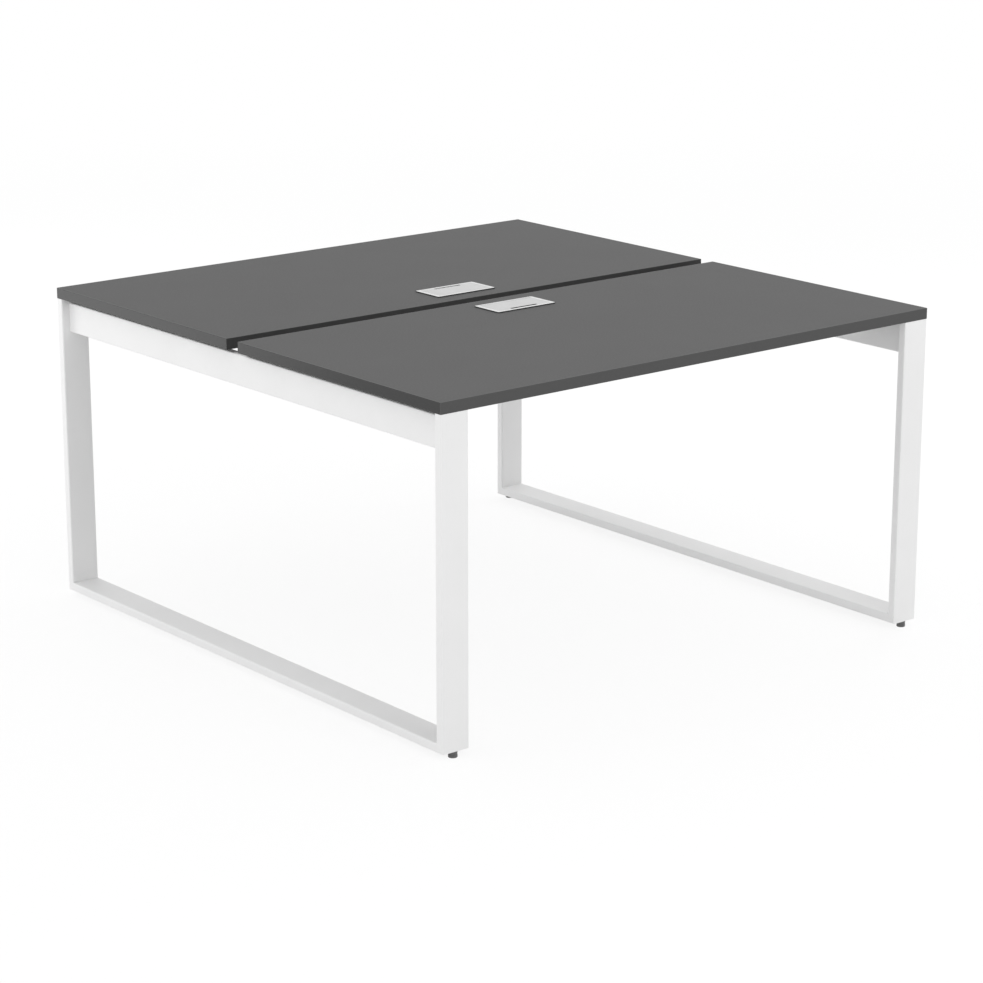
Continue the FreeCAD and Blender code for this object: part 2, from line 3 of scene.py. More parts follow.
import bmesh
import bpy
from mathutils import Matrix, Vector


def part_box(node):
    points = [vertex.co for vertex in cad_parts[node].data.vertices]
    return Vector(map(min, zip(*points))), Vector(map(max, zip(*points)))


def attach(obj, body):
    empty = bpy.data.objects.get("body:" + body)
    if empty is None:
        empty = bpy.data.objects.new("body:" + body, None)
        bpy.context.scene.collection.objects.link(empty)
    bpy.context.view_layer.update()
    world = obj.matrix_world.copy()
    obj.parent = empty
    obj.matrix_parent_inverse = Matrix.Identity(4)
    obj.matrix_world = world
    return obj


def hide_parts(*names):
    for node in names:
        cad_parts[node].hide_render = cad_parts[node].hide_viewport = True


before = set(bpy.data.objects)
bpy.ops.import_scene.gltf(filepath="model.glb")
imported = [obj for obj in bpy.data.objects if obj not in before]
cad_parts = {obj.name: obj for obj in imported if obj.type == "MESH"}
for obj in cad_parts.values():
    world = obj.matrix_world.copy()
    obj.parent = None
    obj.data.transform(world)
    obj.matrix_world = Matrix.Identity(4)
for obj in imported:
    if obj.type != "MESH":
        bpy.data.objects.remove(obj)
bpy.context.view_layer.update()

MM = 0.001
PLACES = {"front": -1, "rear": 1}
SIDES = {"left": -1, "right": 1}

# Heights and places on the desk, in metres
TOP_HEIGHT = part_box("front_desktop")[1].z
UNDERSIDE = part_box("front_desktop")[0].z
BOARD_MIDDLE = (TOP_HEIGHT + UNDERSIDE) / 2
BOARD_HALF = (TOP_HEIGHT - UNDERSIDE) / 2
DESK_HALF_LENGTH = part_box("front_desktop_left_edging")[0].x * -1
DESK_HALF_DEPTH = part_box("front_desktop_user_edging")[0].y * -1

# Limits for picking faces and edges, and for smooth shading
SQUARE = 0.9
STEEP = 0.5
NEARNESS = 0.01 * MM
AXIS_NEARNESS = 0.5 * MM
SMOOTH_ANGLE = math.radians(35)
SHARP_ANGLE = math.radians(40)
SOFT_SEGMENTS = 2


# Hand tools

def put_down():
    """Leaves edit mode and selects nothing."""
    if bpy.context.mode != "OBJECT":
        bpy.ops.object.mode_set(mode="OBJECT")
    bpy.ops.object.select_all(action="DESELECT")


def take(piece):
    """Selects one piece and makes it the active one."""
    put_down()
    piece.select_set(True)
    bpy.context.view_layer.objects.active = piece


def named(name):
    """Names the primitive that was just added, with its place in its mesh, and opens it for shaping."""
    piece = bpy.context.active_object
    piece.name = name
    piece.data.name = name
    take(piece)
    bpy.ops.object.transform_apply(location=True, rotation=True, scale=True)
    bpy.ops.object.mode_set(mode="EDIT")
    return piece


def pick(kind, test):
    """Selects the faces, edges or points that pass the test, in the piece open for shaping."""
    bpy.ops.mesh.select_mode(type=kind)
    bpy.ops.mesh.select_all(action="DESELECT")
    mesh = bpy.context.edit_object.data
    shape = bmesh.from_edit_mesh(mesh)
    shape.normal_update()
    parts = {"FACE": shape.faces, "EDGE": shape.edges, "VERT": shape.verts}[kind]
    for part in parts:
        if test(part):
            part.select_set(True)
    shape.select_flush_mode()
    bmesh.update_edit_mesh(mesh)


def middle(part):
    """The middle of a face or an edge."""
    total = Vector()
    for point in part.verts:
        total += point.co
    return total / len(part.verts)


def lowest(edge):
    """The height of an edge's lower end."""
    return min(point.co.z for point in edge.verts)


def highest(edge):
    """The height of an edge's upper end."""
    return max(point.co.z for point in edge.verts)


def pull(height):
    """Extrudes the picked faces along Z."""
    bpy.ops.mesh.extrude_region_move(TRANSFORM_OT_translate={"value": (0.0, 0.0, height)})


def narrow(share, height=0.0):
    """Scales what is picked towards the Z axis, or away from it, about a point at a height."""
    bpy.ops.transform.resize(value=(share, share, 1.0), center_override=(0.0, 0.0, height))


def sink(face_height, change, spread_to=None):
    """Extrudes the level face at a height by a change in height, and can widen the new face."""
    pick("FACE", lambda face: abs(face.normal.z) > SQUARE
         and abs(middle(face).z - face_height) < NEARNESS
         and middle(face).xy.length < AXIS_NEARNESS)
    pull(change)
    if spread_to:
        narrow(spread_to, face_height + change)


def is_outer_edge(edge, centre):
    """Whether a rim edge has a face that looks away from the middle."""
    spot = middle(edge)
    for face in edge.link_faces:
        away = (spot.x - centre[0]) * face.normal.x + (spot.y - centre[1]) * face.normal.y
        if abs(face.normal.z) < STEEP and away > 0:
            return True
    return False


def close_up(piece, angle=SMOOTH_ANGLE):
    """Ends the shaping: outward faces, smooth over shallow angles."""
    bpy.ops.mesh.select_all(action="SELECT")
    bpy.ops.mesh.normals_make_consistent(inside=False)
    take(piece)
    bpy.ops.object.shade_smooth_by_angle(angle=angle)
    put_down()
    return piece


def soften(piece, width):
    """Takes the sharp edges off a piece."""
    take(piece)
    edge = piece.modifiers.new("soft_edges", "BEVEL")
    edge.width = width
    edge.segments = SOFT_SEGMENTS
    edge.limit_method = "ANGLE"
    edge.angle_limit = SHARP_ANGLE
    bpy.ops.object.modifier_apply(modifier=edge.name)
    bpy.ops.object.shade_smooth_by_angle(angle=SMOOTH_ANGLE)
    put_down()
    return piece


def copy_to(piece, name, spot, turns=(0.0, 0.0, 0.0), size=1.0):
    """A copy with its own mesh, sized, turned and then moved, with its place in its mesh."""
    twin = piece.copy()
    twin.data = piece.data.copy()
    twin.name = name
    twin.data.name = name
    bpy.context.scene.collection.objects.link(twin)
    twin.scale = (size, size, size)
    twin.rotation_euler = turns
    twin.location = spot
    take(twin)
    bpy.ops.object.transform_apply(location=True, rotation=True, scale=True)
    put_down()
    return twin


def gather(name, pieces):
    """Joins pieces into one."""
    put_down()
    for piece in pieces:
        piece.select_set(True)
    bpy.context.view_layer.objects.active = pieces[0]
    bpy.ops.object.join()
    whole = bpy.context.active_object
    whole.name = name
    whole.data.name = name
    put_down()
    return whole


def discard(piece):
    """Removes a master or a cutting tool that has done its work."""
    mesh = piece.data
    bpy.data.objects.remove(piece)
    bpy.data.meshes.remove(mesh)


# Finishes

def new_finish(name):
    """A finish with its shader only."""
    finish = bpy.data.materials.new(name)
    finish.use_nodes = True
    return finish, finish.node_tree.nodes["Principled BSDF"]


def join(finish, output, socket):
    """Links an output to a socket."""
    finish.node_tree.links.new(output, socket)


def grain(finish, scale, detail=2.0, stretch=None):
    """Noise over the piece's own coordinates, stretched along some axes if asked."""
    nodes = finish.node_tree.nodes
    place = nodes.new("ShaderNodeTexCoord").outputs["Object"]
    if stretch:
        mapping = nodes.new("ShaderNodeMapping")
        mapping.inputs["Scale"].default_value = stretch
        join(finish, place, mapping.inputs["Vector"])
        place = mapping.outputs["Vector"]
    noise = nodes.new("ShaderNodeTexNoise")
    noise.inputs["Scale"].default_value = scale
    noise.inputs["Detail"].default_value = detail
    join(finish, place, noise.inputs["Vector"])
    return noise.outputs["Fac"]


def spread(finish, share, low, high, at_low=0.3, at_high=0.7):
    """A number that runs from low to high as the share rises."""
    remap = finish.node_tree.nodes.new("ShaderNodeMapRange")
    remap.inputs["From Min"].default_value = at_low
    remap.inputs["From Max"].default_value = at_high
    remap.inputs["To Min"].default_value = low
    remap.inputs["To Max"].default_value = high
    join(finish, share, remap.inputs["Value"])
    return remap.outputs["Result"]


def shades(finish, share, dark, light, at_dark=0.3, at_light=0.7):
    """A colour that runs from dark to light as the share rises."""
    ramp = finish.node_tree.nodes.new("ShaderNodeValToRGB")
    ramp.color_ramp.elements[0].position = at_dark
    ramp.color_ramp.elements[0].color = (*dark, 1.0)
    ramp.color_ramp.elements[1].position = at_light
    ramp.color_ramp.elements[1].color = (*light, 1.0)
    join(finish, share, ramp.inputs["Fac"])
    return ramp.outputs["Color"]


# Sockets of a mix node that mixes colours
MIX_SHARE = 0
MIX_FIRST = 6
MIX_SECOND = 7
MIX_RESULT = 2


def blend(finish, share, first, second, way="MIX"):
    """Two colours mixed by a share, or by a fixed amount."""
    mix = finish.node_tree.nodes.new("ShaderNodeMix")
    mix.data_type = "RGBA"
    mix.blend_type = way
    if isinstance(share, float):
        mix.inputs[MIX_SHARE].default_value = share
    else:
        join(finish, share, mix.inputs[MIX_SHARE])
    join(finish, first, mix.inputs[MIX_FIRST])
    if isinstance(second, tuple):
        mix.inputs[MIX_SECOND].default_value = (*second, 1.0)
    else:
        join(finish, second, mix.inputs[MIX_SECOND])
    return mix.outputs[MIX_RESULT]


def sums(finish, way, first, second=None):
    """One step of arithmetic."""
    step = finish.node_tree.nodes.new("ShaderNodeMath")
    step.operation = way
    for socket, amount in zip(step.inputs, (first, second)):
        if isinstance(amount, float):
            socket.default_value = amount
        elif amount is not None:
            join(finish, amount, socket)
    return step.outputs["Value"]


def axis_of(finish, letter):
    """The X, Y or Z of the piece's own coordinates."""
    nodes = finish.node_tree.nodes
    split = nodes.new("ShaderNodeSeparateXYZ")
    join(finish, nodes.new("ShaderNodeTexCoord").outputs["Object"], split.inputs["Vector"])
    return split.outputs[letter]


def relief(finish, shader, height, strength, depth):
    """Raises the surface by a share, up to a depth in metres."""
    bump = finish.node_tree.nodes.new("ShaderNodeBump")
    bump.inputs["Strength"].default_value = strength
    bump.inputs["Distance"].default_value = depth
    join(finish, height, bump.inputs["Height"])
    join(finish, bump.outputs["Normal"], shader.inputs["Normal"])


def grey(level):
    """A neutral colour."""
    return (level, level, level)


def laminate_finish():
    """Dark grey laminate: even colour, fine pearl grain, faint cloud."""
    finish, shader = new_finish("dark_grey_laminate")
    pearl = grain(finish, scale=1100.0, detail=4.0)
    colour = shades(finish, pearl, dark=grey(0.0925), light=grey(0.1045))
    cloud = shades(finish, grain(finish, scale=7.0), dark=grey(0.97), light=grey(1.0))
    join(finish, blend(finish, 1.0, colour, cloud, "MULTIPLY"), shader.inputs["Base Color"])
    roughness = spread(finish, grain(finish, scale=260.0), low=0.6, high=0.7)
    join(finish, roughness, shader.inputs["Roughness"])
    shader.inputs["Specular IOR Level"].default_value = 0.22
    relief(finish, shader, pearl, strength=0.12, depth=0.1 * MM)
    return finish


SCRAPER_LINES = (140.0, 140.0, 2600.0)
# Bands along the top arris and the corners of the strips, where a highlight is painted and the gloss rises
RIM_START = 1.4 * MM
RIM_END = 0.4 * MM
CORNER_START = 1.6 * MM
CORNER_END = 0.6 * MM
ARRIS_SHARE = 0.5
ARRIS_HIGHLIGHT_TONE = 0.1
ARRIS_ROUGHNESS = 0.3


def near_edge(finish, distance, half, start, end):
    """A share that rises from 0 to 1 between two distances inside an edge that lies half a size away."""
    return spread(finish, distance, low=0.0, high=1.0, at_low=half - start, at_high=half - end)


def edging_finish(name, dark, light, shine=0.1, roughness=0.4):
    """Dark grey plastic strip: long fine scraper lines, and a painted highlight with a glossier surface
    along the top arris and at corners.
    """
    finish, shader = new_finish(name)
    lines = grain(finish, scale=1.0, detail=3.0, stretch=SCRAPER_LINES)
    colour = shades(finish, lines, dark, light)
    rise = sums(finish, "SUBTRACT", axis_of(finish, "Z"), BOARD_MIDDLE)
    rim = near_edge(finish, rise, BOARD_HALF, RIM_START, RIM_END)
    along = sums(finish, "ABSOLUTE", axis_of(finish, "X"))
    end = near_edge(finish, along, DESK_HALF_LENGTH, CORNER_START, CORNER_END)
    across = sums(finish, "ABSOLUTE", axis_of(finish, "Y"))
    side = near_edge(finish, across, DESK_HALF_DEPTH, CORNER_START, CORNER_END)
    corner = sums(finish, "MULTIPLY", end, side)
    arris = sums(finish, "MULTIPLY", sums(finish, "MAXIMUM", rim, corner), ARRIS_SHARE)
    # Painted highlight: the colour turns paler along the top arris and at the corners
    join(finish, blend(finish, arris, colour, grey(ARRIS_HIGHLIGHT_TONE)), shader.inputs["Base Color"])
    polish = spread(finish, arris, roughness, ARRIS_ROUGHNESS, at_low=0.0, at_high=ARRIS_SHARE)
    join(finish, polish, shader.inputs["Roughness"])
    shader.inputs["Specular IOR Level"].default_value = shine
    relief(finish, shader, lines, strength=0.08, depth=0.1 * MM)
    return finish


def powder_coat_finish():
    """White powder coat: orange peel and a faint change of tone."""
    finish, shader = new_finish("white_powder_finish")
    tone = grain(finish, scale=9.0, detail=3.0)
    fleck = shades(finish, grain(finish, scale=1500.0), dark=grey(0.975), light=grey(1.0))
    colour = shades(finish, tone, dark=grey(0.835), light=grey(0.855))
    join(finish, blend(finish, 1.0, colour, fleck, "MULTIPLY"), shader.inputs["Base Color"])
    roughness = spread(finish, grain(finish, scale=700.0), low=0.4, high=0.52)
    join(finish, roughness, shader.inputs["Roughness"])
    peel = grain(finish, scale=430.0, detail=3.0)
    relief(finish, shader, peel, strength=0.1, depth=0.15 * MM)
    return finish


def satin_metal_finish(name, dark, light, along):
    """Satin aluminium with a fine brush line along one axis."""
    finish, shader = new_finish(name)
    brush = grain(finish, scale=1.0, detail=4.0, stretch=along)
    patch = shades(finish, grain(finish, scale=24.0), dark=grey(0.93), light=grey(1.0))
    colour = shades(finish, brush, dark, light, at_dark=0.25, at_light=0.75)
    join(finish, blend(finish, 1.0, colour, patch, "MULTIPLY"), shader.inputs["Base Color"])
    shader.inputs["Metallic"].default_value = 1.0
    join(finish, spread(finish, brush, low=0.34, high=0.48), shader.inputs["Roughness"])
    relief(finish, shader, brush, strength=0.05, depth=0.05 * MM)
    return finish


ZINC_DARK = (0.5, 0.52, 0.55)
ZINC_LIGHT = (0.68, 0.69, 0.7)


def zinc_finish():
    """Bright zinc plate: bluish grains of different tone."""
    finish, shader = new_finish("bright_zinc")
    nodes = finish.node_tree.nodes
    spangle = nodes.new("ShaderNodeTexVoronoi")
    spangle.inputs["Scale"].default_value = 900.0
    join(finish, nodes.new("ShaderNodeTexCoord").outputs["Object"], spangle.inputs["Vector"])
    colour = shades(finish, spangle.outputs["Distance"], ZINC_DARK, ZINC_LIGHT, at_dark=0.1)
    join(finish, colour, shader.inputs["Base Color"])
    shader.inputs["Metallic"].default_value = 1.0
    roughness = spread(finish, grain(finish, scale=500.0), low=0.28, high=0.45)
    join(finish, roughness, shader.inputs["Roughness"])
    relief(finish, shader, grain(finish, scale=1500.0), strength=0.08, depth=0.05 * MM)
    return finish


SCUFF_SIZE = 12.0


def moulded_finish(name, dark, light, smooth, rough, texture):
    """Moulded plastic or rubber with a spark-eroded texture of a given scale, and larger scuffs."""
    finish, shader = new_finish(name)
    skin = grain(finish, texture, detail=4.0)
    scuff = grain(finish, texture / SCUFF_SIZE, detail=3.0)
    join(finish, shades(finish, scuff, dark, light), shader.inputs["Base Color"])
    join(finish, spread(finish, scuff, smooth, rough), shader.inputs["Roughness"])
    relief(finish, shader, skin, strength=0.2, depth=0.1 * MM)
    return finish


LID_BRUSH = (25.0, 2600.0, 2600.0)
FINISHES = {
    "worktop_laminate": laminate_finish(),
    "edging_plastic": edging_finish("dark_grey_edging", grey(0.078), grey(0.087)),
    "white_powder_coat": powder_coat_finish(),
    "port_metal": satin_metal_finish("satin_port_metal", grey(0.79), grey(0.85), LID_BRUSH),
    "zinc_steel": zinc_finish(),
    "foot_plastic": moulded_finish("dark_foot_plastic", grey(0.085), grey(0.12),
                                   smooth=0.28, rough=0.4, texture=900.0),
    "cap_plastic": moulded_finish("pale_cap_plastic", grey(0.62), grey(0.7),
                                  smooth=0.45, rough=0.55, texture=700.0),
    "bumper_rubber": moulded_finish("soft_dark_rubber", grey(0.018), grey(0.03),
                                    smooth=0.7, rough=0.85, texture=1200.0),
}


def dress_cad_nodes():
    """Gives every CAD node the finish of its slot, and the lids their own; the end and gap strips get darker
    copies of the edging as painted shade, the end strips glossier too.
    """
    lid_metal = satin_metal_finish("satin_lid_metal", grey(0.62), grey(0.68), LID_BRUSH)
    # Painted shade: the end strips are the same edging, made darker and glossier
    shaded_end_strip = edging_finish("painted_shade_end_edging", grey(0.044), grey(0.049), shine=0.155, roughness=0.22)
    # Painted shade: the strips facing into the gap between the worktops are the same edging, made darker
    shaded_gap_strip = edging_finish("painted_shade_gap_edging", grey(0.038), grey(0.043))
    for name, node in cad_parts.items():
        for slot in node.material_slots:
            slot.material = FINISHES[slot.material.name.split(".")[0]]
            if name.endswith("_lid"):
                slot.material = lid_metal
            if name.endswith(("_left_edging", "_right_edging")):
                slot.material = shaded_end_strip
            if name.endswith("_gap_edging"):
                slot.material = shaded_gap_strip


def dress(piece, body, slot):
    """Gives a new piece its finish and the body that carries it."""
    piece.data.materials.clear()
    piece.data.materials.append(FINISHES[slot])
    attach(piece, body)
    return piece


dress_cad_nodes()


# Pieces modelled by hand

SEAL_GAP = 0.05 * MM
SEAL_WIDTH = 0.6 * MM
SEAL_HEIGHT = 2.4 * MM
SEAL_ROUND = 0.35 * MM
RIM_ROUND = 4.0 * MM


def make_port_shade_seal(place):
    """The thin dark rubber seal round the rim of a cable port, on the worktop, that stands as painted shade
    along the rim's sides.
    """
    low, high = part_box(f"{place}_port_frame")
    margin = SEAL_GAP + SEAL_WIDTH
    size = (high.x - low.x + 2 * margin, high.y - low.y + 2 * margin, SEAL_HEIGHT)
    centre = ((low.x + high.x) / 2, (low.y + high.y) / 2, TOP_HEIGHT + SEAL_HEIGHT / 2)
    put_down()
    bpy.ops.mesh.primitive_cube_add(size=1.0, location=centre)
    bpy.context.active_object.scale = size
    # Painted shade: the dark rubber makes the rim's sides read as the shadow line along them
    seal = named(f"{place}_port_rim_shade_seal")
    pick("EDGE", lambda edge: highest(edge) - lowest(edge) > SEAL_HEIGHT / 2)
    bpy.ops.mesh.bevel(offset=RIM_ROUND + margin, segments=8, affect="EDGES")
    pick("FACE", lambda face: abs(face.normal.z) > SQUARE)
    bpy.ops.mesh.inset(thickness=SEAL_WIDTH, use_even_offset=True)
    bpy.ops.mesh.bridge_edge_loops()
    top = TOP_HEIGHT + SEAL_HEIGHT - NEARNESS
    pick("EDGE", lambda edge: lowest(edge) > top and is_outer_edge(edge, centre))
    bpy.ops.mesh.bevel(offset=SEAL_ROUND, segments=3, affect="EDGES")
    return close_up(seal)


# Size and place of the dark lip that stands as painted shade inside the lid's slot
LINER_EDGE = 135.05 * MM
LINER_WIDTH = 1.5 * MM
LINER_REACH = 142.3 * MM
LINER_HALF_LENGTH = 37.95 * MM
LINER_BOTTOM = 748.2 * MM
LINER_TOP = 752.6 * MM
LINER_ROUND = 0.2 * MM


def make_slot_shade_liner(place):
    """The dark rubber lip round the cable slot of a lid, on its user side, that stands as painted shade
    inside the slot.
    """
    way = PLACES[place]
    put_down()
    centre = (0.0, way * (LINER_EDGE + LINER_WIDTH / 2), (LINER_BOTTOM + LINER_TOP) / 2)
    bpy.ops.mesh.primitive_cube_add(size=1.0, location=centre)
    bpy.context.active_object.scale = (2 * LINER_HALF_LENGTH, LINER_WIDTH, LINER_TOP - LINER_BOTTOM)
    liner = named(f"{place}_slot_dark_shade_liner")
    leg = LINER_HALF_LENGTH - LINER_WIDTH
    for side in SIDES.values():
        bpy.ops.mesh.select_all(action="SELECT")
        bpy.ops.mesh.bisect(plane_co=(side * leg, 0.0, 0.0), plane_no=(1.0, 0.0, 0.0))
    pick("FACE", lambda face: way * face.normal.y > SQUARE and abs(middle(face).x) > leg)
    reach = LINER_REACH - LINER_EDGE - LINER_WIDTH
    bpy.ops.mesh.extrude_region_move(TRANSFORM_OT_translate={"value": (0.0, way * reach, 0.0)})
    close_up(liner)
    return soften(liner, LINER_ROUND)


FOOT_RADIUS = 10.0 * MM
FOOT_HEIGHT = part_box("front_left_foot_pad")[1].z
FOOT_LOWER_ROUND = 1.0 * MM
FOOT_UPPER_ROUND = 0.5 * MM
GROOVE_BOTTOM = 6.0 * MM
GROOVE_TOP = 10.4 * MM
GROOVE_SLOPE = 0.4 * MM
GROOVE_DEPTH = 0.6 * MM
STUD_BORE = 4.05 * MM
SOCKET_RADIUS = 6.1 * MM
SOCKET_CEILING = 6.2 * MM
SOCKET_FLOOR = 3.0 * MM


def make_foot_pad():
    """A moulded glide at the origin: soft lower edge, grip groove, and a socket for the stud's head."""
    put_down()
    bpy.ops.mesh.primitive_cylinder_add(vertices=48, radius=FOOT_RADIUS, depth=FOOT_HEIGHT,
                                        location=(0.0, 0.0, FOOT_HEIGHT / 2))
    pad = named("foot_pad_master")
    for height in (GROOVE_BOTTOM, GROOVE_TOP):
        bpy.ops.mesh.select_all(action="SELECT")
        bpy.ops.mesh.bisect(plane_co=(0.0, 0.0, height), plane_no=(0.0, 0.0, 1.0))
    pick("FACE", lambda face: abs(face.normal.z) < STEEP and GROOVE_BOTTOM < middle(face).z < GROOVE_TOP)
    bpy.ops.mesh.inset(thickness=GROOVE_SLOPE, depth=-GROOVE_DEPTH, use_even_offset=True)
    pick("EDGE", lambda edge: highest(edge) < NEARNESS)
    bpy.ops.mesh.bevel(offset=FOOT_LOWER_ROUND, segments=4, affect="EDGES")
    pick("EDGE", lambda edge: lowest(edge) > FOOT_HEIGHT - NEARNESS)
    bpy.ops.mesh.bevel(offset=FOOT_UPPER_ROUND, segments=3, affect="EDGES")
    pick("FACE", lambda face: face.normal.z > SQUARE and middle(face).z > FOOT_HEIGHT - NEARNESS)
    bpy.ops.mesh.inset(thickness=FOOT_RADIUS - FOOT_UPPER_ROUND - STUD_BORE, use_even_offset=True)
    sink(FOOT_HEIGHT, SOCKET_CEILING - FOOT_HEIGHT)
    sink(SOCKET_CEILING, 0.0, SOCKET_RADIUS / STUD_BORE)
    sink(SOCKET_CEILING, SOCKET_FLOOR - SOCKET_CEILING)
    return close_up(pad)


THREAD_PITCH = 1.25 * MM
THREAD_ROOT = 3.3 * MM
THREAD_CREST = 3.97 * MM
THREAD_OVERLAP = 0.2 * MM
THREAD_FLAT = 0.3
THREAD_START = 7.4 * MM
THREAD_TURNS = 33
THREAD_STEPS = 24
STUD_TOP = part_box("front_left_foot_stud")[1].z
STUD_LEAD = 1.0 * MM
STUD_TAPER = 0.75
HEAD_TOP = 6.1 * MM
HEAD_HEIGHT = 3.0 * MM
HEAD_RADIUS = 6.0 * MM


def make_stud():
    """A threaded stud at the origin with a flat head that turns in the pad's socket."""
    put_down()
    bpy.ops.mesh.primitive_cylinder_add(vertices=40, radius=HEAD_RADIUS, depth=HEAD_HEIGHT,
                                        location=(0.0, 0.0, HEAD_TOP - HEAD_HEIGHT / 2))
    core = named("stud_master")
    pick("FACE", lambda face: face.normal.z > SQUARE)
    bpy.ops.mesh.inset(thickness=HEAD_RADIUS - THREAD_ROOT, use_even_offset=True)
    sink(HEAD_TOP, STUD_TOP - STUD_LEAD - HEAD_TOP)
    sink(STUD_TOP - STUD_LEAD, STUD_LEAD, STUD_TAPER)
    close_up(core)
    depth = THREAD_CREST - THREAD_ROOT + THREAD_OVERLAP
    bpy.ops.mesh.primitive_plane_add(size=depth, rotation=(math.pi / 2, 0.0, 0.0),
                                     location=(THREAD_CREST - depth / 2, 0.0, THREAD_START))
    ridge = named("thread_ridge")
    pick("VERT", lambda point: point.co.x > THREAD_CREST - depth / 2)
    bpy.ops.transform.resize(value=(1.0, 1.0, THREAD_FLAT), center_override=(0.0, 0.0, THREAD_START))
    bpy.ops.mesh.select_all(action="SELECT")
    bpy.ops.mesh.delete(type="ONLY_FACE")
    take(ridge)
    winding = ridge.modifiers.new("winding", "SCREW")
    winding.axis = "Z"
    winding.angle = 2 * math.pi
    winding.screw_offset = THREAD_PITCH
    winding.iterations = THREAD_TURNS
    winding.steps = THREAD_STEPS
    winding.render_steps = THREAD_STEPS
    bpy.ops.object.modifier_apply(modifier=winding.name)
    bpy.ops.object.mode_set(mode="EDIT")
    bpy.ops.mesh.select_all(action="SELECT")
    bpy.ops.mesh.fill_holes(sides=4)
    close_up(ridge)
    return gather("stud_master", [core, ridge])


HEX_ACROSS = 13.0 * MM
HEX_HEIGHT = 5.3 * MM
HEX_OVERLAP = 0.4 * MM
HEX_CHAMFER_WIDTH = 1.0 * MM
HEX_CHAMFER_HEIGHT = 0.45 * MM
HEX_RING_WIDTH = 1.4 * MM
HEX_DISH_SLOPE = 0.5 * MM
HEX_DISH_DEPTH = 0.35 * MM
FLANGE_RADIUS = 8.5 * MM
FLANGE_THICKNESS = 1.6 * MM
BOLT_RADIUS = 3.95 * MM
BOLT_LENGTH = 16.0 * MM
BOLT_LEAD = 1.0 * MM
BOLT_TAPER = 0.78
BOLT_ROUND = 0.25 * MM


def make_bolt():
    """A hexagon flange bolt along Z at the origin, with its seat at zero height and its head below."""
    put_down()
    head_middle = -FLANGE_THICKNESS - HEX_HEIGHT / 2 + HEX_OVERLAP / 2
    bpy.ops.mesh.primitive_cylinder_add(vertices=6, radius=HEX_ACROSS / math.sqrt(3.0),
                                        depth=HEX_HEIGHT + HEX_OVERLAP, location=(0.0, 0.0, head_middle))
    bolt = named("bolt_master")
    pick("FACE", lambda face: face.normal.z < -SQUARE)
    bpy.ops.mesh.inset(thickness=HEX_CHAMFER_WIDTH, depth=HEX_CHAMFER_HEIGHT, use_even_offset=True)
    bpy.ops.mesh.inset(thickness=HEX_RING_WIDTH, use_even_offset=True)
    bpy.ops.mesh.inset(thickness=HEX_DISH_SLOPE, depth=-HEX_DISH_DEPTH, use_even_offset=True)
    bpy.ops.mesh.primitive_cylinder_add(vertices=40, radius=FLANGE_RADIUS, depth=FLANGE_THICKNESS,
                                        location=(0.0, 0.0, -FLANGE_THICKNESS / 2))
    pick("FACE", lambda face: face.normal.z > SQUARE and abs(middle(face).z) < NEARNESS)
    bpy.ops.mesh.inset(thickness=FLANGE_RADIUS - BOLT_RADIUS, use_even_offset=True)
    pull(BOLT_LENGTH - BOLT_LEAD)
    pull(BOLT_LEAD)
    narrow(BOLT_TAPER, BOLT_LENGTH)
    close_up(bolt)
    return soften(bolt, BOLT_ROUND)


SCREW_HEAD_RADIUS = 5.0 * MM
SCREW_HEAD_HEIGHT = 3.0 * MM
SCREW_HEAD_ROUND = 1.5 * MM
SCREW_RADIUS = 2.5 * MM
SCREW_LENGTH = 20.0 * MM
SCREW_TIP = 4.0 * MM
SCREW_POINT = 0.12
RECESS_LENGTH = 5.2 * MM
RECESS_WIDTH = 1.0 * MM
RECESS_DEPTH = 1.7 * MM
RECESS_TAPER = 0.55


def make_cross_blades():
    """Two crossed blades that cut the recess into the head of a screw."""
    blades = []
    for number, turn in enumerate((0.0, math.pi / 2)):
        bpy.ops.mesh.primitive_cube_add(size=1.0, rotation=(0.0, 0.0, turn),
                                        location=(0.0, 0.0, -SCREW_HEAD_HEIGHT))
        bpy.context.active_object.scale = (RECESS_LENGTH, RECESS_WIDTH, 2 * RECESS_DEPTH)
        blades.append(named(f"cross_blade_{number}"))
        pick("FACE", lambda face: face.normal.z > SQUARE)
        narrow(RECESS_TAPER, RECESS_DEPTH - SCREW_HEAD_HEIGHT)
        put_down()
    return blades


def make_wood_screw():
    """A pan-head wood screw along Z at the origin, with a cross recess in its head below."""
    put_down()
    blades = make_cross_blades()
    bpy.ops.mesh.primitive_cylinder_add(vertices=32, radius=SCREW_HEAD_RADIUS, depth=SCREW_HEAD_HEIGHT,
                                        location=(0.0, 0.0, -SCREW_HEAD_HEIGHT / 2))
    screw = named("screw_master")
    pick("EDGE", lambda edge: highest(edge) < NEARNESS - SCREW_HEAD_HEIGHT)
    bpy.ops.mesh.bevel(offset=SCREW_HEAD_ROUND, segments=5, affect="EDGES")
    pick("FACE", lambda face: face.normal.z > SQUARE and abs(middle(face).z) < NEARNESS)
    bpy.ops.mesh.inset(thickness=SCREW_HEAD_RADIUS - SCREW_RADIUS, use_even_offset=True)
    pull(SCREW_LENGTH - SCREW_TIP)
    pull(SCREW_TIP)
    narrow(SCREW_POINT, SCREW_LENGTH)
    close_up(screw)
    for blade in blades:
        take(screw)
        recess = screw.modifiers.new("cross_recess", "BOOLEAN")
        recess.operation = "DIFFERENCE"
        recess.solver = "EXACT"
        recess.object = blade
        bpy.ops.object.modifier_apply(modifier=recess.name)
    for blade in blades:
        discard(blade)
    take(screw)
    bpy.ops.object.shade_smooth_by_angle(angle=SMOOTH_ANGLE)
    put_down()
    return screw


BEAD_RADIUS = 2.4 * MM
BEAD_RIPPLE = 1.6 * MM
BEAD_WAIST = 0.86
BEAD_END = 0.45
BEAD_SMOOTH_ANGLE = math.radians(80)


